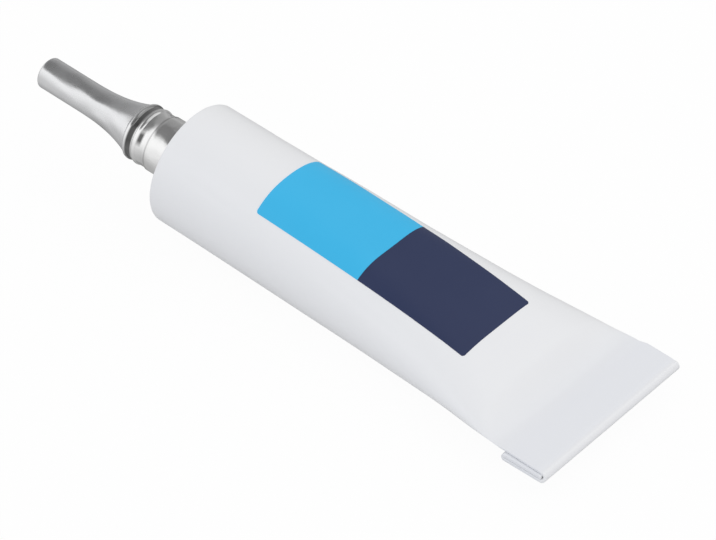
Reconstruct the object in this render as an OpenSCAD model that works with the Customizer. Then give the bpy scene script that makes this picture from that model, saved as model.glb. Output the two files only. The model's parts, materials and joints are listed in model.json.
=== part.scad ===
// Collapsible aluminium tube of sealant: a filled round body pressed flat and folded at one end,
// with a shoulder, a ringed neck and a long thin closed nozzle at the other.
// All lengths are in millimetres. The tube is drawn along X with the rim of its shoulder at 0 and
// its nozzle towards -X, and is then laid down on the part of its body under its centre of mass.

/* [Body] */
// Outside diameter of the round body
tube_d = 16; // [12:0.5:22]
// Length from the rim of the shoulder to the front of the fold
body_len = 63.3; // [50:0.1:90]
// Radius of the edge between the shoulder and the body
rim_round = 0.3; // [0.15:0.05:0.5]
// How long the filled body stays round towards its pressed end, as an exponent
body_full = 3.24; // [2:0.02:4]
// How sharply the body drops to the pressed end, as an exponent
body_close = 0.88; // [0.6:0.01:1.2]
// Share of their height that the top and the underside lose in the middle, where they are flattest
middle_flat = 0.147; // [0:0.001:0.2]

/* [Pressed end] */
// Thickness of the two walls pressed together
sheet_t = 0.3; // [0.2:0.02:0.4]
// Depth of the double fold, along the tube
fold_depth = 6.1; // [4:0.1:8]
// Overall thickness of the folded end
fold_t = 1.35; // [1.1:0.01:1.6]
// How far the folded layers spread past the pressed sheet on each side
fold_spread = 0.45; // [0.2:0.05:0.8]
// Slit between the pressed sheet and the folded layers
fold_slit = 0.1; // [0.06:0.01:0.12]
// Height of the pressed sheet above the axis of the round body
flat_rise = 0.65; // [0:0.01:2]
// How late along the body that height comes in, as an exponent
flat_late = 3; // [1:0.1:4]

/* [Neck and nozzle] */
// Height of the shoulder's cone, from the rim to the neck
shoulder_h = 1.6; // [1:0.1:3]
// Width of the flat ring around the shoulder's cone
shoulder_land = 0.35; // [0.2:0.05:1]
// Diameter of the neck
neck_d = 7.46; // [6:0.02:9]
// Distance from the rim to the end of the plain neck
neck_reach = 5.2; // [4.5:0.1:8]
// Diameter of the two rings on the neck
ring_d = 7.5; // [6:0.02:9]
// Depth of the grooves beside the rings, on the radius
ring_groove = 0.2; // [0.05:0.01:0.3]
// Width of the groove between the neck and the first ring
first_groove_w = 0.95; // [0.4:0.05:1.6]
// Distance between the two rings
ring_pitch = 1.37; // [1.2:0.01:2]
// Diameter of the nozzle's straight part
nozzle_d = 4.14; // [3:0.02:5]
// Distance from the rim to the nozzle's closed tip
nozzle_reach = 24.3; // [22:0.1:40]
// Length of the nozzle's straight part, from the tip
nozzle_straight = 5.8; // [3:0.1:9]
// Radius of the edge at the nozzle's tip
tip_round = 0.3; // [0.1:0.05:0.6]
// Diameter at the wide end of the flare
flare_d = 6.9; // [6:0.05:7.2]
// How late the flare opens, as an exponent
flare_late = 2.78; // [1.5:0.02:4]

/* [Printed fields] */
// Distance from the rim to the light blue field
print_start = 14.6; // [5:0.1:20]
// Length of the light blue field
blue_len = 15.8; // [8:0.1:18]
// Length of the navy field
navy_len = 16; // [8:0.1:18]
// Width of both fields, around the body
print_w = 12.3; // [6:0.1:18]
// How far the fields' middle lies round from the crest, towards -Y where negative
print_shift = -0.57; // [-3:0.01:3]
// Thickness of the printed layer
print_t = 0.06; // [0.04:0.01:0.15]

/* [Hidden] */
white = [0.93, 0.93, 0.94];
aluminium = [0.74, 0.75, 0.76];
light_blue = [0.27, 0.72, 0.90];
navy = [0.19, 0.22, 0.36];

tube_r = tube_d / 2;
neck_r = neck_d / 2;
ring_r = ring_d / 2;
nozzle_r = nozzle_d / 2;
// Length of the filled body, up to the inner end of the fold
filled_len = body_len - fold_depth;
// Steps that the rings of the body are drawn with
section_steps = 96;
width_steps = 22;
print_columns = 22;
other_columns = 62;
columns = print_columns + other_columns;
rim_steps = 4;
start_rows = 6;
print_rows = 8;
end_rows = 8;
end_crowding = 1.6;
// How far one solid reaches into the next, and stays inside its faces
lap = 0.3;
inset = 0.01;
round_fn = 96;

// Shape of the body at u, the share of the filled length

function half_height(u) = sheet_t / 2 - inset
    + (tube_r - sheet_t / 2 + inset) * pow(1 - pow(u, body_full), body_close);
function side_height(u) = flat_rise * pow(u, flat_late);
// The flattening starts from nothing at the rim, is full at two thirds and ends at the pressed end
full_flattening = 4 / 27;
function flattening(u) = middle_flat * u * u * (1 - u) / full_flattening;
// How narrow a strip of the top and the underside it takes in, as an exponent
strip_power = 8;

// Point at an angle from the crest of a section of half-width w, as [y, z]
function section_point(u, w, angle) =
    let (c = cos(angle))
    [w * sin(angle), half_height(u) * c * (1 - flattening(u) * pow(c, strip_power))];
function section(u, w) =
    [for (i = [0:section_steps]) section_point(u, w, 360 * i / section_steps)];
function steps_of(points) = [for (i = [1:len(points) - 1]) norm(points[i] - points[i - 1])];
// Distance of each point from the first, along the line through them
function distances(points) =
    let (steps = [each steps_of(points), 0])
    [for (i = 0, sum = 0; i < len(points); sum = sum + steps[i], i = i + 1) sum];
function total(values) = values * [for (v = values) 1];
function girth_of(u, w) = total(steps_of(section(u, w)));

// The wall can't stretch, so every section has the girth of the round one
girth = girth_of(0, tube_r);
function half_width(u, low, high, steps) =
    let (middle = (low + high) / 2)
    steps == 0 ? middle
    : girth_of(u, middle) > girth ? half_width(u, low, middle, steps - 1)
    : half_width(u, middle, high, steps - 1);

// Distances round the wall from the crest, towards +Y: across the print, then round the rest
print_from = print_shift - print_w / 2;
function wrapped(s) = s < 0 ? s + girth : s > girth ? s - girth : s;
column_at = [
    for (j = [0:print_columns - 1]) wrapped(print_from + print_w * j / print_columns),
    for (j = [0:other_columns - 1])
        wrapped(print_from + print_w + (girth - print_w) * j / other_columns)
];

// Rows along the body, as the distance from the rim
function span(from, to, rows) = [for (i = [0:rows - 1]) from + (to - from) * i / rows];
blue_from = print_start;
navy_from = blue_from + blue_len;
navy_to = navy_from + navy_len;
body_rows = [
    each span(0, blue_from, start_rows),
    each span(blue_from, navy_from, print_rows),
    each span(navy_from, navy_to, print_rows),
    // The last rows close up, where the body runs out to nothing
    for (i = [0:end_rows]) filled_len - (filled_len - navy_to) * pow(1 - i / end_rows, end_crowding)
];
blue_row = start_rows;
navy_row = blue_row + print_rows;

function row_ring(x) =
    let (u = min(max(x / filled_len, 0), 1),
         w = u == 0 ? tube_r : half_width(u, 0, tube_r * PI / 2, width_steps),
         points = section(u, w),
         far = distances(points),
         across = [for (i = [0:section_steps]) [far[i], points[i][0]]],
         up = [for (i = [0:section_steps]) [far[i], points[i][1]]])
    [for (s = column_at) [x, lookup(s, across), lookup(s, up) + side_height(u)]];
wall_rings = [for (x = body_rows) row_ring(x)];

// Rings of the rounded rim, smaller copies of the first one
rim_rings = [for (i = [0:rim_steps - 1])
    let (angle = 90 * i / rim_steps,
         share = (tube_r - rim_round + rim_round * sin(angle)) / tube_r)
    [for (p = wall_rings[0]) [-rim_round * cos(angle), p[1] * share, p[2] * share]]];
end_ring = [for (p = wall_rings[len(wall_rings) - 1]) p + [lap, 0, 0]];
body_rings = [each rim_rings, each wall_rings, end_ring];

// Outline of the neck and nozzle, as [radius, x]

function arc(r, x, radius, from, to, steps) =
    [for (i = [0:steps]) let (a = from + (to - from) * i / steps)
        [r + radius * sin(a), x - radius * cos(a)]];
plug_r = tube_r - rim_round - shoulder_land;
neck_fillet = 0.25;
ring_round = 0.5;
groove_r = ring_r - ring_groove;
groove_chamfer = 0.3;
inner_ring_x = -(neck_reach + groove_chamfer + first_groove_w + ring_round);
outer_ring_x = inner_ring_x - ring_pitch;
// Angle from a ring's crest to where it meets its grooves
ring_angle = acos(1 - ring_groove / ring_round);
// Angle at which the outer ring runs into the flare, whose end stands a little proud of it
ring_end = 15;
flare_step = 0.04;
flare_to = outer_ring_x - ring_round * cos(ring_end) - flare_step;
flare_from = -(nozzle_reach - nozzle_straight);
flare_steps = 20;
function flare_point(share) =
    [nozzle_r + (flare_d / 2 - nozzle_r) * pow(share, flare_late),
     flare_from + (flare_to - flare_from) * share];
nozzle_outline = [
    [0, lap],
    [plug_r, lap],
    [plug_r, -rim_round],
    [neck_r + neck_fillet, -shoulder_h],
    [neck_r, -shoulder_h - neck_fillet],
    [neck_r, -neck_reach],
    [groove_r, -neck_reach - groove_chamfer],
    each arc(ring_r - ring_round, inner_ring_x, ring_round, 90 + ring_angle, 90 - ring_angle, 6),
    each arc(ring_r - ring_round, outer_ring_x, ring_round, 90 + ring_angle, ring_end, 10),
    for (i = [flare_steps:-1:0]) flare_point(i / flare_steps),
    each arc(nozzle_r - tip_round, tip_round - nozzle_reach, tip_round, 90, 0, 5),
    [0, -nozzle_reach]
];

// The fold seen from the side, as [x, z]

sheet_w = girth / 2 - sheet_t;
fold_w = sheet_w + 2 * fold_spread;
sheet_top = flat_rise + sheet_t / 2;
fold_bottom = sheet_top - fold_t;
// Both turns of the fold are half rings of the sheet
front_turn_r = fold_t / 2;
front_turn = [body_len - front_turn_r, sheet_top - front_turn_r];
inner_turn_r = (fold_t - sheet_t - fold_slit) / 2;
inner_turn = [filled_len + inner_turn_r, fold_bottom + inner_turn_r];
// The free end of the innermost layer stops short of the front turn
free_end_gap = 0.2;
free_end = front_turn[0] - free_end_gap;

// Centre of mass, on the axis: from slices of the body between its rows, and of the nozzle

function after(i) = (i + 1) % columns;
function ring_area(ring) = total([
    for (j = [0:columns - 1]) ring[j][1] * ring[after(j)][2] - ring[after(j)][1] * ring[j][2]]) / 2;
function slice(x1, area1, x2, area2) =
    [abs(x2 - x1) * (area1 + sqrt(area1 * area2) + area2) / 3, (x1 + x2) / 2];
slices = [
    for (i = [1:len(wall_rings) - 1]) let (a = wall_rings[i - 1], b = wall_rings[i])
        slice(a[0][0], abs(ring_area(a)), b[0][0], abs(ring_area(b))),
    for (i = [1:len(nozzle_outline) - 1]) let (a = nozzle_outline[i - 1], b = nozzle_outline[i])
        slice(a[1], PI * a[0] * a[0], b[1], PI * b[0] * b[0])
];
volumes = [for (s = slices) s[0]];
balance = [volumes * [for (s = slices) s[1]] / total(volumes), 0];

// The tube comes to rest on the part of its underside that is nearest to its centre of mass

function distance_from(p, a, b) = abs(cross(b - a, p - a)) / norm(b - a);
low_points = [for (ring = wall_rings) [ring[0][0], min([for (p = ring) p[2]])]];
nearness = [for (i = [1:len(low_points) - 1])
    distance_from(balance, low_points[i - 1], low_points[i])];
tilt = [for (i = [0:len(nearness) - 1]) if (nearness[i] == min(nearness))
    let (edge = low_points[i + 1] - low_points[i]) atan2(edge[1], edge[0])][0];
floor_z = min([
    front_turn[1] * cos(tilt) - front_turn[0] * sin(tilt) - front_turn_r,
    for (p = low_points) p[1] * cos(tilt) - p[0] * sin(tilt)
]);
tip_x = (tip_round - nozzle_reach) * cos(tilt) - (nozzle_r - tip_round) * sin(tilt) - tip_round;
front_x = front_turn[0] * cos(tilt) + front_turn[1] * sin(tilt) + front_turn_r;

module laid_down() {
    translate([-(tip_x + front_x) / 2, 0, -floor_z])
        rotate([0, tilt, 0])
            children();
}

module filled_body() {
    rows = len(body_rings);
    polyhedron(
        points = [for (ring = body_rings) each ring],
        faces = [
            [for (j = [columns - 1:-1:0]) j],
            [for (j = [0:columns - 1]) (rows - 1) * columns + j],
            for (i = [0:rows - 2], j = [0:columns - 1])
                let (a = i * columns + j, d = i * columns + (j + 1) % columns)
                each [[a, d, d + columns], [a, d + columns, a + columns]]
        ],
        convexity = 4);
}

module neck_and_nozzle() {
    rotate([0, 90, 0])
        rotate_extrude($fn = round_fn)
            polygon(nozzle_outline);
}

// Carries a shape drawn as [x, z] over to the tube, w wide along Y
module across_tube(w) {
    rotate([90, 0, 0])
        linear_extrude(height = w, center = true)
            children();
}

module strip(from, to, bottom) {
    translate([from, bottom])
        square([to - from, sheet_t]);
}

// Half ring of the sheet, open towards +X where side is 1 and towards -X where it is -1
module turn(centre, radius, side) {
    translate(centre)
        difference() {
            circle(radius, $fn = round_fn);
            circle(radius - sheet_t, $fn = round_fn);
            translate([side > 0 ? 0 : -2 * radius, -radius])
                square(2 * radius);
        }
}

module folded_end() {
    top_layer_len = front_turn[0] - filled_len;
    trim_w = fold_spread + lap;
    trim_h = 2 * sheet_t + fold_slit;
    difference() {
        across_tube(fold_w) {
            strip(filled_len, front_turn[0], sheet_top - sheet_t);
            turn(front_turn, front_turn_r, -1);
            strip(inner_turn[0], front_turn[0], fold_bottom);
            turn(inner_turn, inner_turn_r, 1);
            strip(inner_turn[0], free_end, fold_bottom + 2 * inner_turn_r - sheet_t);
        }
        // The top layer is no wider than the pressed sheet that it goes on from
        for (side = [-1, 1])
            translate([filled_len, side * (sheet_w + trim_w) / 2, sheet_top])
                cube([2 * top_layer_len, trim_w, trim_h], center = true);
    }
}

// Thin layer on the wall between two of its rows, as wide as the print
module printed_field(first_row, rows) {
    across = print_columns + 1;
    // Points of the wall under the layer, row by row, and the same points one thickness out
    under = [for (i = [0:rows], j = [0:print_columns]) wall_rings[first_row + i][j]];
    outward = [for (i = [0:rows], j = [0:print_columns])
        let (ring = wall_rings[first_row + i],
             along = ring[(j + 1) % columns] - ring[(j + columns - 1) % columns])
        [0, -along[2], along[1]] / norm([along[1], along[2]])];
    over = [for (k = [0:len(under) - 1]) under[k] + print_t * outward[k]];
    n = len(under);
    last = n - across;
    polyhedron(
        points = [each under, each over],
        faces = [
            for (i = [0:rows - 1], j = [0:print_columns - 1])
                let (a = i * across + j, b = a + across)
                each [[a, b + 1, a + 1], [a, b, b + 1],
                      [a + n, a + 1 + n, b + 1 + n], [a + n, b + 1 + n, b + n]],
            for (j = [0:print_columns - 1])
                let (k = last + j)
                each [[j, j + 1, j + 1 + n], [j, j + 1 + n, j + n],
                      [k, k + 1 + n, k + 1], [k, k + n, k + 1 + n]],
            for (i = [0:rows - 1])
                let (a = i * across, b = a + across, c = a + print_columns, d = b + print_columns)
                each [[a, b + n, b], [a, a + n, b + n], [c, d, d + n], [c, d + n, c + n]]
        ],
        convexity = 2);
}

module tube() {
    laid_down() {
        color(white) {
            filled_body();
            folded_end();
        }
        color(aluminium)
            neck_and_nozzle();
    }
}

module light_blue_print() {
    color(light_blue)
        laid_down()
            printed_field(blue_row, print_rows);
}

module navy_print() {
    color(navy)
        laid_down()
            printed_field(navy_row, print_rows);
}

tube();
light_blue_print();
navy_print();
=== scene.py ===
"""The lacquered sealant tube: its wall with the folded end, its drawn neck and nozzle, and two
printed fields, on a pale floor in soft studio light."""

import json
import math

import bmesh
import bpy
import numpy as np
from mathutils import Matrix, Vector, noise


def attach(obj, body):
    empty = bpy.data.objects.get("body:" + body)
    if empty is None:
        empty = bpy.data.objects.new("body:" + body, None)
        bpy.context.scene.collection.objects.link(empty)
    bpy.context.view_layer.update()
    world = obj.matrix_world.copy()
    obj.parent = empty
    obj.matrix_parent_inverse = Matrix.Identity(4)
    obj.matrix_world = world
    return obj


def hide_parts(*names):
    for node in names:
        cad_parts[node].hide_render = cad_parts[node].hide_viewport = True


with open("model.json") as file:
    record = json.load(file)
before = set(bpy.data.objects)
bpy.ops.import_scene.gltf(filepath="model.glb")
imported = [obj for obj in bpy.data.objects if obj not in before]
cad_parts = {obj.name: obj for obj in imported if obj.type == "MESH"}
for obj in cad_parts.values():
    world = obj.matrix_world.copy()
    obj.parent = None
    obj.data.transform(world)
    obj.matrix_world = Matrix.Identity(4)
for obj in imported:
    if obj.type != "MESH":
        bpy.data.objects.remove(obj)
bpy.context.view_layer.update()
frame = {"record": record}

MM = 0.001

# Driving dimensions of the tube, in millimetres, in its own frame: X from the rim of the
# shoulder towards the fold, Z up, the middle of the rim at the origin
TUBE_R = 8.0
BODY_LEN = 63.295
RIM_ROUND = 0.3
SHEET_T = 0.3
FLAT_RISE = 0.65
FLAT_LATE = 3.0

# The fold: its depth and thickness, the thickness of a folded layer, the slit under the top
# layer, and how far the free end reaches past the middle of the front turn
FOLD_DEPTH = 6.095
FOLD_T = 1.35
FOLDED_T = 0.5
FOLD_SLIT = 0.03
FREE_END_REACH = 0.12
FILLED_LEN = BODY_LEN - FOLD_DEPTH

# How far the folded layers stand out past the sheet's sides, and how much less on the near side
# for each millimetre past the filled body
FOLD_SPREAD = 0.44
NEAR_TAPER = 0.03

# How far the top layer's far side stands out, and where it widens, past the filled body
TOP_SPREAD = 0.34
WIDENING = (0.2, 1.6)

# Degrees of turn after which a layer has the thickness and the spread of a folded one
TURNED_OVER = 150

# The sheet's dip before it turns down: its depth, its distance from the turn and its half-width
DIP_DEPTH = 0.05
DIP_BACK = 0.2
DIP_W = 0.25

# Law of the filled body's sections
BODY_FULL = 3.24
BODY_CLOSE = 0.88
MIDDLE_FLAT = 0.147
STRIP_POWER = 8

# The curve from the law into the pressed sheet, before and past the end of the filled body, and
# the stretch before that end where the section becomes a strip
EASE_BEFORE = 5.5
EASE_PAST = 0.3
PRESSED_BEFORE = 2.0

# Height of the wall's waves and ripples, and where they rise and die out along the tube
WAVE_H = 0.07
RIPPLE_H = 0.018
WAVES_RISE = (0, 6)
WAVES_END = (52, 57)

# The shoulder with its plug in the wall, the neck, its rings, the flare and the nozzle. A reach
# is counted from the rim
SHOULDER_H = 1.6
SHOULDER_LAND = 0.35
PLUG_DEPTH = 0.3
PLUG_LAP = 0.15
NECK_R = 3.73
NECK_ROOT = 0.25
NECK_EVEN_X = -2.3
NECK_REACH = 5.2
NOZZLE_R = 2.07
NOZZLE_REACH = 24.29
NOZZLE_STRAIGHT = 5.8
TIP_ROUND = 0.3
RING_R = 3.75
RING_ROUND = 0.5
RING_GROOVE = 0.15
RING_FOOT = 0.3
INNER_RING_X = -6.95
OUTER_RING_X = -8.32
FLARE_END_X = -8.843
FLARE_END_TURN = 15
FLARE_R = 3.45
FLARE_LATE = 2.78

# The printed fields along the tube, how far they are shifted off the crest, and the ink: how far
# it stands out, its bevelled edge and the radius of its rounded corners
BLUE_START = 14.6
BLUE_LEN = 15.8
NAVY_LEN = 16.0
PRINT_W = 12.3
PRINT_SHIFT = -0.57
INK_T = 0.03
INK_EDGE = 0.01
INK_CORNER = 0.35

# How far the wall stays inside that of the solids
CAD_MARGIN = 0.004

# How finely the meshes are divided. The body's rings lie closer together from END_RINGS_X on,
# and its columns at the two sides. HALF_CHORD is a share of the girth, points closer than MERGE
# become one, and edges that turn more than SHARP stay sharp
SECTION_STEPS = 360
WALL_COLUMNS = 240
WALL_CROWDING = 0.72
BODY_RINGS = 130
END_RINGS = 25
END_RINGS_X = 52
HALF_CHORD = 0.002
INK_COLUMNS = 64
INK_ROWS = 101
TURNED_STEPS = 160
MERGE = 0.0005
SHARP = math.radians(32)

# The photograph's camera, in millimetres and degrees
LENS = 192.317
CAMERA_AIM = (5.442, 0.835, 5)
CAMERA_AZIMUTH = 39.747
CAMERA_ELEVATION = 39.118
CAMERA_ROLL = 0.108
CAMERA_DISTANCE = 450.66

# The softbox in metres, with the radiance of its face, and half of the floor's side
SOFTBOX_TOWARDS = (0.35, 0.5, 1)
SOFTBOX_DISTANCE = 0.5
SOFTBOX_SIDE = 0.5
SOFTBOX_RADIANCE = 0.45
FLOOR_HALF = 3

# How much of the floor is plain white to the camera, and over how many millimetres in front of the
# tube the painted shadow it shows in the metal grows paler
FLOOR_WHITE = 0.96
FLOOR_FADE = 100

# The two ends of each finish's clouding
LACQUER = (0.80, 0.805, 0.82, 1), (0.82, 0.822, 0.832, 1)
LIGHT_BLUE = (0.038, 0.45, 0.77, 1), (0.05, 0.475, 0.8, 1)
NAVY = (0.027, 0.038, 0.095, 1), (0.031, 0.043, 0.105, 1)
ALUMINIUM = (0.79, 0.795, 0.81, 1), (0.94, 0.945, 0.955, 1)
# Painted shade for the pressed sheet by the fold, greyer and bluer than the lacquer
PRESSED_SHEET_SHADE = (0.765, 0.775, 0.805, 1)

# The metal's looks are laid out along this many millimetres, from just past the tip to the rim
METAL_LEN = 25


def mount(name):
    """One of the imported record's mounts."""
    return next(m for m in frame["record"]["mounts"] if m["name"] == name)


# The tube lies tilted: its own frame is found again from the neck's mount
neck_axis = Vector(mount("neck")["axis"])
tilt = math.atan2(neck_axis.z, -neck_axis.x)
neck_middle = (SHOULDER_H + NECK_ROOT + NECK_REACH) / 2 * MM
rim_middle = Vector(mount("neck")["pos_m"]) - neck_axis * neck_middle
tube_axis = -neck_axis
# Height of the tube's axis at the rings, in millimetres
ring_axis_z = (rim_middle + tube_axis * (INNER_RING_X + OUTER_RING_X) / 2 * MM).z / MM
# From the tube's own frame in millimetres to the shared frame
laid_down = Matrix.Translation(rim_middle) @ Matrix.Rotation(tilt, 4, "Y") @ Matrix.Scale(MM, 4)


# Sections of the filled body


def smooth_share(value, low, high):
    """Rises smoothly from 0 at low to 1 at high."""
    s = np.clip((value - low) / (high - low), 0, 1)
    return s * s * (3 - 2 * s)


def filled_share(x):
    """How far x lies along the filled body, from 0 at the rim to 1 at the pressed end."""
    return min(max(x / FILLED_LEN, 0), 1)


def half_height(x):
    """Half of the body's height at x by its law."""
    law = (1 - filled_share(x) ** BODY_FULL) ** BODY_CLOSE
    return SHEET_T / 2 + (TUBE_R - SHEET_T / 2) * law


def eased_height(x):
    """The same, running into the pressed end in a curve."""
    ease = smooth_share(x, FILLED_LEN - EASE_BEFORE, FILLED_LEN + EASE_PAST)
    return SHEET_T / 2 + (half_height(x) - SHEET_T / 2) * (1 - ease)


def side_height(x):
    """How high the section's two sides lie over the tube's axis."""
    return FLAT_RISE * filled_share(x) ** FLAT_LATE


def section_with(width, height, x):
    """Points round the section at x from its crest towards +Y, as [y, z]."""
    u = filled_share(x)
    # 27 / 4 brings the peak, at two thirds of the length, to 1
    flattening = MIDDLE_FLAT * u * u * (1 - u) * 27 / 4
    angle = np.linspace(0, 2 * np.pi, SECTION_STEPS + 1)
    c = np.cos(angle)
    z = height * c * (1 - flattening * c**STRIP_POWER)
    return np.stack([width * np.sin(angle), z], 1)


def lengths_round(points):
    """Distance from the first point to each one, along the line of points."""
    return np.concatenate([[0], np.cumsum(np.hypot(*np.diff(points, axis=0).T))])


GIRTH = lengths_round(section_with(TUBE_R, TUBE_R, 0))[-1]
SHEET_W = GIRTH / 2 - SHEET_T
SHEET_TOP = FLAT_RISE + SHEET_T / 2


def body_section(x):
    """The section at x whose girth is that of the round one, since the wall can't stretch."""
    # Half the width is closed in on from both sides
    low, high = 0.9 * TUBE_R, 0.5 * math.pi * TUBE_R
    for _ in range(22):
        middle = (low + high) / 2
        too_long = lengths_round(section_with(middle, half_height(x), x))[-1] > GIRTH
        low, high = (low, middle) if too_long else (middle, high)
    return section_with(middle, eased_height(x), x)


def flat_section(width, thickness=SHEET_T):
    """The wall pressed flat: a strip with blunt, rounded edges."""
    half, r = (width - thickness) / 2, thickness / 2
    turn = np.linspace(np.pi / 2, -np.pi / 2, 17)
    c, s = np.cos(turn).clip(0), np.sin(turn)
    right = np.stack([half + r * np.sqrt(c), r * np.sign(s) * np.sqrt(abs(s))], 1)
    left = -right
    return np.concatenate([[[0, r]], right, left, [[0, r]]])


def at_shares(points, shares):
    """Points at the given shares of the way round a section."""
    lengths = lengths_round(points)
    where = shares * lengths[-1]
    return np.stack([np.interp(where, lengths, points[:, k]) for k in range(2)], 1)


# Long shallow creases in the wall: from and to along the tube, distance round from the crest at
# both, depth and half-width
CREASES = [
    (1.5, 15, -7.6, -8.3, 0.045, 0.5),
    (23, 45, -8.6, -9.6, 0.05, 0.6),
    (36, 52, -2.5, -6.5, 0.03, 1.2),
]


def pushed_in(x, shares):
    """How far the wall is out of its law, in millimetres outwards, from filling and handling."""
    around = shares * 2 * np.pi
    from_crest = (shares + 0.5) % 1 * GIRTH - GIRTH / 2
    wave = []
    for a in around:
        # Waves are about 10 mm long, ripples a third of that
        p = Vector((0.1 * x, 0.9 * math.sin(a), 0.9 * math.cos(a)))
        ripple = noise.noise(3.1 * p + Vector((7, 3, 1)))
        wave.append(WAVE_H * noise.noise(p) + RIPPLE_H * ripple)
    held = smooth_share(x, *WAVES_RISE) * (1 - smooth_share(x, *WAVES_END))
    out = held * np.array(wave)
    for start, end, first, last, depth, half_width in CREASES:
        share = (x - start) / (end - start)
        if 0 < share < 1:
            away = (from_crest - first - (last - first) * share) / half_width
            out = out - depth * math.sin(math.pi * share) * np.exp(-away * away)
    # They all fade out round the underside
    return out * smooth_share(np.cos(around), -0.7, -0.1) - CAD_MARGIN


# Sections that are worked out already, by their place along the tube
sections = {}


def wall_ring(x, shares, lift=0.0):
    """Points round the filled body at x, as [x, y, z], raised off the wall by lift."""
    x = round(float(x), 4)
    if x not in sections:
        sections[x] = body_section(x)
    ring = at_shares(sections[x], shares)
    pressed = smooth_share(x, FILLED_LEN - PRESSED_BEFORE, FILLED_LEN)
    ring = ring * (1 - pressed) + pressed * at_shares(flat_section(SHEET_W), shares)
    # Outwards is square to a short chord of the section
    ahead = at_shares(sections[x], (shares + HALF_CHORD) % 1)
    chord = ahead - at_shares(sections[x], (shares - HALF_CHORD) % 1)
    outward = np.stack([-chord[:, 1], chord[:, 0]], 1)
    outward /= np.linalg.norm(outward, axis=1)[:, None]
    ring = ring + outward * (pushed_in(x, shares) + lift)[:, None]
    return np.column_stack([np.full(len(ring), x), ring[:, 0], ring[:, 1] + side_height(x)])


def half_turn(centre, radius, start, steps):
    """Stations on the outside of a half circle, as (x, z, heading in degrees)."""
    return [
        (
            centre[0] - radius * math.sin(math.radians(heading)),
            centre[1] + radius * math.cos(math.radians(heading)),
            heading,
        )
        for heading in np.linspace(start, start - 180, steps + 1)
    ]


def straight(start, end, z, heading, steps):
    """Stations on a straight stretch, as (x, z, heading in degrees)."""
    return [(x, z, heading) for x in np.linspace(start, end, steps + 1)]


def fold_stations():
    """The outside of the pressed sheet through both turns of the fold, with its heading."""
    bottom = SHEET_TOP - FOLD_T
    front_r, inner_r = FOLD_T / 2, (FOLD_T - SHEET_T - FOLD_SLIT) / 2
    front = (BODY_LEN - front_r, SHEET_TOP - front_r)
    inner = (FILLED_LEN + inner_r, bottom + inner_r)
    top = []
    for x, z, heading in straight(FILLED_LEN, front[0], SHEET_TOP, 0, 45):
        # The sheet dips a little before it turns down
        dip = DIP_DEPTH * math.exp(-(((front[0] - DIP_BACK - x) / DIP_W) ** 2))
        top.append((x, z - dip, heading))
    lip = half_turn(front, front_r, 0, 18)
    under = straight(front[0], inner[0], bottom, -180, 8)
    back = half_turn(inner, inner_r, -180, 12)
    tongue = straight(inner[0], front[0] + FREE_END_REACH, bottom + 2 * inner_r, -360, 8)
    return top[1:] + lip[1:] + under[1:] + back[1:] + tongue[1:]


def column_shares():
    """Shares round the girth, closer together at the two sides, where the fold's edges are."""
    t = np.linspace(0, 1, WALL_COLUMNS + 1)
    return t + WALL_CROWDING * np.sin(4 * np.pi * t) / (4 * np.pi)


def wall_rows():
    """Every ring of the wall, from the one hidden under the shoulder to the fold's tongue."""
    shares = column_shares()
    first = wall_ring(0, shares)
    land_r = TUBE_R - RIM_ROUND
    rows = []
    for r in (land_r - SHOULDER_LAND - PLUG_LAP, land_r - SHOULDER_LAND / 2):
        rows.append(np.column_stack([np.full(len(first), -RIM_ROUND), first[:, 1:] * r / TUBE_R]))
    for angle in np.radians(np.linspace(0, 90, 7)[:-1]):
        share = (land_r + RIM_ROUND * math.sin(angle)) / TUBE_R
        x = np.full(len(first), -RIM_ROUND * math.cos(angle))
        rows.append(np.column_stack([x, first[:, 1:] * share]))
    body = np.linspace(0, END_RINGS_X, BODY_RINGS + 1)
    end = np.linspace(END_RINGS_X, FILLED_LEN, END_RINGS + 1)[1:]
    rows += [wall_ring(x, shares) for x in np.concatenate([body, end])]
    for x, z, heading in fold_stations():
        folded = smooth_share(-heading, 0, TURNED_OVER)
        thickness = SHEET_T + (FOLDED_T - SHEET_T) * folded
        # The press leaves the fold a little askew, wider on the side towards +Y
        past = x - FILLED_LEN
        far = TOP_SPREAD * smooth_share(past, *WIDENING)
        far += (FOLD_SPREAD - far) * folded
        near = (FOLD_SPREAD - NEAR_TAPER * past) * folded
        strip = at_shares(flat_section(SHEET_W + near + far, thickness), shares)
        strip[:, 0] += (far - near) / 2
        outwards = strip[:, 1] - thickness / 2
        h = math.radians(heading)
        along, up = x - outwards * math.sin(h), z + outwards * math.cos(h)
        rows.append(np.column_stack([along, strip[:, 0], up]))
    return np.array(rows)


# Making meshes


def sheet_of(bm, rows):
    """Lays a grid made by the operator over the given rows of points."""
    along, around = len(rows) - 1, len(rows[0]) - 1
    bmesh.ops.create_grid(bm, x_segments=along, y_segments=around, size=1)
    for v in bm.verts:
        i = round((v.co.x + 1) / 2 * along)
        j = round((v.co.y + 1) / 2 * around)
        v.co = rows[i][j]


def closed(bm):
    """Merges the seam, fills open ends and turns the faces outwards."""
    bmesh.ops.remove_doubles(bm, verts=bm.verts, dist=MERGE)
    rims = [e for e in bm.edges if e.is_boundary]
    if rims:
        bmesh.ops.holes_fill(bm, edges=rims)
    bmesh.ops.recalc_face_normals(bm, faces=bm.faces)


def in_scene(name, data):
    """A new object that holds the data."""
    made = bpy.data.objects.new(name, data)
    bpy.context.scene.collection.objects.link(made)
    return made


def covered(name, bm, finish):
    """The mesh as an object in the scene, with its finish on."""
    mesh = bpy.data.meshes.new(name)
    bm.to_mesh(mesh)
    bm.free()
    mesh.materials.append(finish)
    return in_scene(name, mesh)


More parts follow.
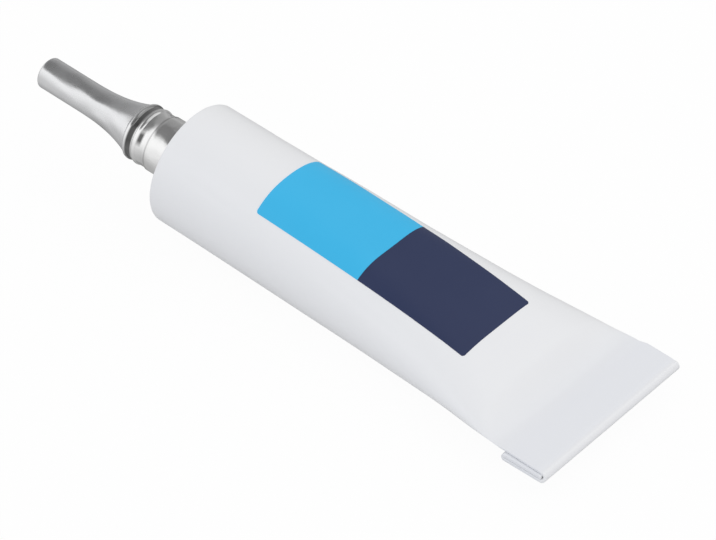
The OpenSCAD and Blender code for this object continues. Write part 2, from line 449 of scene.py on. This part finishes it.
def piece(name, bm, finish, slot, *nodes):
    """Turns a mesh drawn in the tube's frame into an object that rides on the root body."""
    bmesh.ops.transform(bm, matrix=laid_down, verts=bm.verts)
    for face in bm.faces:
        face.smooth = True
    for edge in bm.edges:
        if edge.calc_face_angle(0) > SHARP:
            edge.smooth = False
    made = covered(name, bm, finish)
    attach(made, "root")
    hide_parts(*nodes)


def tube_wall(finish):
    bm = bmesh.new()
    sheet_of(bm, wall_rows())
    closed(bm)
    piece("tube_wall", bm, finish, "white_lacquer", "tube")


def printed_field(name, start, end, rounded, finish, slot, node):
    """A layer of ink on the wall from start to end, with the two corners at rounded cut round."""
    rows = []
    inner = np.linspace(start + INK_EDGE, end - INK_EDGE, INK_ROWS)
    for x in np.concatenate([[start], inner, [end]]):
        near = min(abs(x - rounded), INK_CORNER)
        cut = INK_CORNER - math.sqrt(INK_CORNER**2 - (INK_CORNER - near) ** 2)
        half = PRINT_W / 2 - cut
        shares = (PRINT_SHIFT + np.linspace(-half, half, INK_COLUMNS + 1)) / GIRTH % 1
        thick = 0 if x in (start, end) else INK_T
        over = wall_ring(x, shares, thick)
        rows.append(np.concatenate([over, wall_ring(x, shares, -thick)[::-1], over[:1]]))
    bm = bmesh.new()
    sheet_of(bm, np.array(rows))
    closed(bm)
    piece(name, bm, finish, slot, node)


def arc(r, x, radius, start, end, steps):
    """Points on a fillet of the outline, as (radius, x); 0 degrees points at the nozzle's tip."""
    return [
        (r + radius * math.sin(a), x - radius * math.cos(a))
        for a in np.radians(np.linspace(start, end, steps + 1))
    ]


def neck_outline():
    """Half of the neck and nozzle from the shoulder's plug to the closed tip, as (radius, x)."""
    plug_r = TUBE_R - RIM_ROUND - SHOULDER_LAND
    turn = math.degrees(math.acos(1 - RING_GROOVE / RING_ROUND))
    flare_start = -(NOZZLE_REACH - NOZZLE_STRAIGHT)
    ring_middle = RING_R - RING_ROUND
    points = [(0, PLUG_DEPTH), (plug_r, PLUG_DEPTH), (plug_r, -RIM_ROUND)]
    points += [(NECK_R + NECK_ROOT, -SHOULDER_H), (NECK_R, -SHOULDER_H - NECK_ROOT)]
    points += [(NECK_R, x) for x in np.linspace(NECK_EVEN_X, -NECK_REACH, 6)]
    points += [(RING_R - RING_GROOVE, -NECK_REACH - RING_FOOT)]
    points += arc(ring_middle, INNER_RING_X, RING_ROUND, 90 + turn, 90 - turn, 10)
    points += arc(ring_middle, OUTER_RING_X, RING_ROUND, 90 + turn, FLARE_END_TURN, 14)
    for s in np.linspace(1, 0, 41):
        r = NOZZLE_R + (FLARE_R - NOZZLE_R) * s**FLARE_LATE
        points.append((r, flare_start + (FLARE_END_X - flare_start) * s))
    tip = TIP_ROUND - NOZZLE_REACH
    points += [(NOZZLE_R, x) for x in np.linspace(flare_start, tip, 13)[1:-1]]
    points += arc(NOZZLE_R - TIP_ROUND, tip, TIP_ROUND, 90, 0, 8)
    points += [(0, -NOZZLE_REACH)]
    return points


def neck_and_nozzle(finish):
    bm = bmesh.new()
    verts = [bm.verts.new((x, 0, r)) for r, x in neck_outline()]
    edges = [bm.edges.new(pair) for pair in zip(verts, verts[1:])]
    bmesh.ops.spin(
        bm,
        geom=verts + edges,
        axis=(1, 0, 0),
        cent=(0, 0, 0),
        angle=2 * math.pi,
        steps=TURNED_STEPS,
        use_merge=True,
    )
    closed(bm)
    piece("neck_and_nozzle", bm, finish, "bare_aluminium", "tube")


# Materials


def grey(level):
    return (level, level, level, 1)


class Value:
    """A shader socket that can stand in a Python expression."""

    def __init__(self, shader, socket):
        self.shader = shader
        self.socket = socket

    def maths(self, operation, first, second):
        return self.shader.node("ShaderNodeMath", {"operation": operation}, {0: first, 1: second})

    def __add__(self, other):
        return self.maths("ADD", self, other)

    def __radd__(self, other):
        return self.maths("ADD", other, self)

    def __sub__(self, other):
        return self.maths("SUBTRACT", self, other)

    def __rsub__(self, other):
        return self.maths("SUBTRACT", other, self)

    def __mul__(self, other):
        return self.maths("MULTIPLY", self, other)

    def __rmul__(self, other):
        return self.maths("MULTIPLY", other, self)


class Shader:
    """The nodes of one material or of the world."""

    def __init__(self, owner):
        owner.use_nodes = True
        self.tree = owner.node_tree
        self.tree.nodes.clear()

    def node(self, kind, settings=None, inputs=None, output=0):
        """Adds a node with its settings, then fills its sockets, and returns one output if any."""
        made = self.tree.nodes.new(kind)
        for name, value in (settings or {}).items():
            if name == "stops":
                self.set_stops(made.color_ramp, value)
            else:
                setattr(made, name, value)
        for key, value in (inputs or {}).items():
            socket = self.find(made.inputs, key)
            if isinstance(value, Value):
                self.tree.links.new(value.socket, socket)
            else:
                socket.default_value = value
        if len(made.outputs):
            return Value(self, self.find(made.outputs, output))

    def find(self, sockets, key):
        """The socket with this place, identifier or name."""
        if isinstance(key, int):
            return sockets[key]
        return next(s for s in sockets if key in (s.identifier, s.name))

    def set_stops(self, ramp, stops):
        """Sets a ramp's stops, each a position with a colour or a level of grey."""
        for position, _ in stops[2:]:
            ramp.elements.new(position)
        for element, (position, shade) in zip(ramp.elements, sorted(stops)):
            element.position = position
            element.color = (*shade, 1) if isinstance(shade, tuple) else grey(shade)

    def mix_colour(self, factor, first, second):
        return self.node(
            "ShaderNodeMix",
            {"data_type": "RGBA"},
            {"Factor_Float": factor, "A_Color": first, "B_Color": second},
            "Result_Color",
        )

    def noise(self, scale, detail=2.0, stretch=(1, 1, 1), turned=0.0):
        """Noise on the object's own coordinates, in cycles per metre."""
        stretched = self.node(
            "ShaderNodeMapping",
            {"vector_type": "TEXTURE"},
            {"Vector": self.coordinates("Object"), "Rotation": (0, turned, 0), "Scale": stretch},
        )
        settings = {"Vector": stretched, "Scale": scale, "Detail": detail}
        return self.node("ShaderNodeTexNoise", inputs=settings, output="Fac")

    def coordinates(self, kind, axis=None):
        """Coordinates of one kind, or their share along one axis."""
        whole = self.node("ShaderNodeTexCoord", output=kind)
        if axis is None:
            return whole
        return self.node("ShaderNodeSeparateXYZ", inputs={0: whole}, output=axis)

    def ray(self, kind):
        """1 on the rays of one kind, 0 on the others."""
        return self.node("ShaderNodeLightPath", output=f"Is {kind} Ray")

    def towards(self, axis):
        """How far the ray's direction points along one axis."""
        return self.coordinates("Generated", axis)

    def place(self, axis):
        """Place along one axis of the shared frame, in millimetres."""
        return self.coordinates("Object", axis) * (1 / MM)

    def along_tube(self):
        """Distance from the rim towards the fold, in millimetres."""
        both = {0: self.coordinates("Object"), 1: tube_axis}
        distance = self.node("ShaderNodeVectorMath", {"operation": "DOT_PRODUCT"}, both, "Value")
        return (distance - rim_middle.dot(tube_axis)) * (1 / MM)

    def ramp(self, factor, *stops):
        return self.node("ShaderNodeValToRGB", {"stops": list(stops)}, {0: factor})

    def rise(self, factor, low, high):
        """0 up to low and 1 from high on."""
        return self.ramp(factor, (low, 0.0), (high, 1.0))

    def band(self, factor, start, full, fading, end):
        """1 from full to fading, 0 before start and past end."""
        return self.ramp(factor, (start, 0.0), (full, 1.0), (fading, 1.0), (end, 0.0))

    def bump(self, height, strength, distance):
        return self.node(
            "ShaderNodeBump", inputs={"Height": height, "Strength": strength, "Distance": distance}
        )

    def coat_grain(self):
        """The fine unevenness of lacquer or ink."""
        return self.bump(self.noise(1500, 2), 0.1, 0.00002)

    def surface(self, **sockets):
        """A Principled surface, with its sockets by name, such as base_color."""
        named = {}
        for key, value in sockets.items():
            named[key.replace("_", " ").title().replace("Ior", "IOR")] = value
        body = self.node("ShaderNodeBsdfPrincipled", inputs=named)
        self.node("ShaderNodeOutputMaterial", inputs={"Surface": body})


def white_lacquer():
    made = bpy.data.materials.new("white_lacquer")
    shader = Shader(made)
    clouds = shader.noise(90, 3)
    colour = shader.mix_colour(clouds, *LACQUER)
    # Painted shade: the pressed sheet is a little greyer, up to the fold's edge, standing in for
    # the duller light on the tilted sheet
    pressed = shader.band(shader.along_tube() * (1 / BODY_LEN), 0.84, 0.92, 0.984, 0.991)
    shader.surface(
        base_color=shader.mix_colour(pressed, colour, PRESSED_SHEET_SHADE),
        roughness=0.34 + 0.1 * clouds,
        coat_weight=0.15,
        coat_roughness=0.2,
        normal=shader.coat_grain(),
    )
    return made


def ink(name, shades):
    """Printing ink over the lacquer."""
    made = bpy.data.materials.new(name)
    shader = Shader(made)
    clouds = shader.noise(140, 3)
    shader.surface(
        base_color=shader.mix_colour(clouds, *shades),
        roughness=0.34 + 0.1 * clouds,
        specular_ior_level=0.25,
        normal=shader.coat_grain(),
    )
    return made


def drawn_aluminium():
    """Bare metal, matt and mottled on the nozzle and brighter on the neck, with painted shade, a
    painted dark reflection and a painted dark line by the rings.
    """
    made = bpy.data.materials.new("drawn_aluminium")
    shader = Shader(made)
    mottle = shader.noise(420, 5)
    dents = shader.noise(300, 1, stretch=(2, 1, 1), turned=tilt) - 0.5
    fine = shader.noise(1400, 3, stretch=(3, 1, 1), turned=tilt)
    # From 0 by the tip to 1 at the rim
    place = (shader.along_tube() + METAL_LEN) * (1 / METAL_LEN)
    neck = shader.rise(place, 0.62, 0.7)
    # The band over the outer ring and the groove between the rings, which gets painted shade
    groove = shader.band(place, 0.669, 0.676, 0.7, 0.707)
    valley = shader.band(place, 0.73, 0.738, 0.754, 0.764)
    # Painted shade: a thin dark line on the neck just before it steps out to the rings
    line = shader.ramp(place, (0.79, 0.0), (0.796, 1.0), (0.802, 0.0))
    # Height over the axis at the rings: 0 level with it, 1 at their crest
    above = (shader.place("Z") - ring_axis_z) * (1 / RING_R)
    # Painted shade and dark reflection in that groove: darkest part way up the rings, lighter by
    # the axis and towards their crest
    groove_shade = shader.ramp(above, (0.0, 0.2), (0.3, 0.1), (0.7, 0.1), (0.9, 0.4))
    # Painted dark reflection: a dark spot on the near side, part way up, between the inner ring
    # and the neck
    near_side = shader.rise(shader.place("Y") * (-1 / RING_R), 0.1, 0.4)
    dark_reflection_spot = near_side * shader.band(above, 0.22, 0.42, 0.6, 0.76)
    # The dents die out towards the shoulder
    beaten = shader.ramp(place, (0.86, 1.0), (0.93, 0.0))
    colour = shader.mix_colour(mottle, *ALUMINIUM)
    colour = shader.mix_colour(neck, colour, grey(0.96))
    colour = shader.mix_colour(groove, colour, groove_shade)
    colour = shader.mix_colour(valley * dark_reflection_spot, colour, grey(0.13))
    colour = shader.mix_colour(line, colour, grey(0.55))
    shader.surface(
        base_color=colour,
        metallic=1.0,
        roughness=0.2 + 0.16 * mottle - 0.08 * neck,
        normal=shader.bump(dents * beaten + 0.04 * mottle + 0.02 * fine, 0.8, 0.0009),
    )
    return made


def pale_floor():
    """It keeps the shadow, and is near white to the camera; in the metal it shows a painted
    shadow, greyer close by the tube.
    """
    made = bpy.data.materials.new("pale_floor")
    shader = Shader(made)
    to_camera, glossy = shader.ray("Camera"), shader.ray("Glossy")
    matt = shader.node("ShaderNodeBsdfDiffuse", inputs={"Color": grey(0.8)})
    in_front = shader.place("Y") * (-1 / FLOOR_FADE)
    # Painted shadow seen only in the metal: darker close by the tube, paler further in front
    shaded_in_metal = shader.ramp(
        in_front, (0.0, 0.37), (0.05, 0.44), (0.13, 0.57), (0.3, 0.7), (1.0, 0.84)
    )
    level = shader.mix_colour(to_camera, shaded_in_metal, grey(1))
    glow = shader.node("ShaderNodeEmission", inputs={"Color": level, "Strength": 1.0})
    share = FLOOR_WHITE * to_camera + glossy
    both = shader.node("ShaderNodeMixShader", inputs={0: share, 1: matt, 2: glow})
    shader.node("ShaderNodeOutputMaterial", inputs={"Surface": both})
    return made


# The studio


def floor():
    bm = bmesh.new()
    bmesh.ops.create_grid(bm, x_segments=1, y_segments=1, size=FLOOR_HALF)
    made = covered("floor", bm, pale_floor())


def studio_world():
    """A light tent, even on matt surfaces, but in shiny ones darker behind and dark overhead."""
    world = bpy.data.worlds.new("studio")
    bpy.context.scene.world = world
    shader = Shader(world)
    height = shader.towards("Z")
    back = shader.rise(2.5 * shader.towards("Y") + 0.5, 0.0, 1.0)
    shiny_front = shader.ramp(height, (0.0, 0.84), (0.25, 0.95), (0.67, 1.0), (0.78, 0.17))
    shiny_back = shader.ramp(
        height, (0.0, 0.48), (0.1, 0.42), (0.3, 0.34), (0.7, 0.28), (0.82, 0.17)
    )
    shiny = shader.mix_colour(back, shiny_front, shiny_back)
    matt_front = shader.ramp(height, (0.0, (0.98, 1.01, 1.07)), (1.0, 0.95))
    matt_back = shader.ramp(height, (0.0, 0.75), (1.0, 0.95))
    matt = shader.mix_colour(back, matt_front, matt_back)
    colour = shader.mix_colour(shader.ray("Glossy"), matt, shiny)
    colour = shader.mix_colour(shader.ray("Camera"), colour, grey(1))
    light = shader.node("ShaderNodeBackground", inputs={"Color": colour, "Strength": 1.0})
    shader.node("ShaderNodeOutputWorld", inputs={"Surface": light})


def softbox():
    """A square lamp over the tube, which looks at it."""
    lamp = bpy.data.lights.new("softbox", "AREA")
    lamp.shape = "SQUARE"
    lamp.size = SOFTBOX_SIDE
    lamp.energy = SOFTBOX_RADIANCE * math.pi * SOFTBOX_SIDE**2
    made = in_scene("softbox", lamp)
    towards = Vector(SOFTBOX_TOWARDS)
    made.location = towards.normalized() * SOFTBOX_DISTANCE
    made.rotation_euler = towards.to_track_quat("Z", "Y").to_euler()


def camera():
    """The camera of the photograph."""
    lens = bpy.data.cameras.new("camera")
    lens.sensor_width = 36
    lens.lens = LENS
    lens.clip_start = 0.01
    made = in_scene("camera", lens)
    place = Matrix.Translation(Vector(CAMERA_AIM) * MM)
    place = place @ Matrix.Rotation(math.radians(CAMERA_AZIMUTH), 4, "Z")
    place = place @ Matrix.Rotation(math.radians(90 - CAMERA_ELEVATION), 4, "X")
    place = place @ Matrix.Rotation(math.radians(CAMERA_ROLL), 4, "Z")
    made.matrix_world = place @ Matrix.Translation((0, 0, CAMERA_DISTANCE * MM))
    bpy.context.scene.camera = made


# The whole scene

tube_wall(white_lacquer())
neck_and_nozzle(drawn_aluminium())
light_blue = ink("light_blue_ink", LIGHT_BLUE)
navy = ink("navy_ink", NAVY)
fields_meet = BLUE_START + BLUE_LEN
navy_end = fields_meet + NAVY_LEN
printed_field(
    "light_blue_field", BLUE_START, fields_meet, BLUE_START,
    light_blue, "light_blue_ink", "light_blue_print",
)
printed_field("navy_field", fields_meet, navy_end, navy_end, navy, "navy_ink", "navy_print")

floor()
studio_world()
softbox()
camera()
bpy.context.scene.view_settings.view_transform = "Standard"
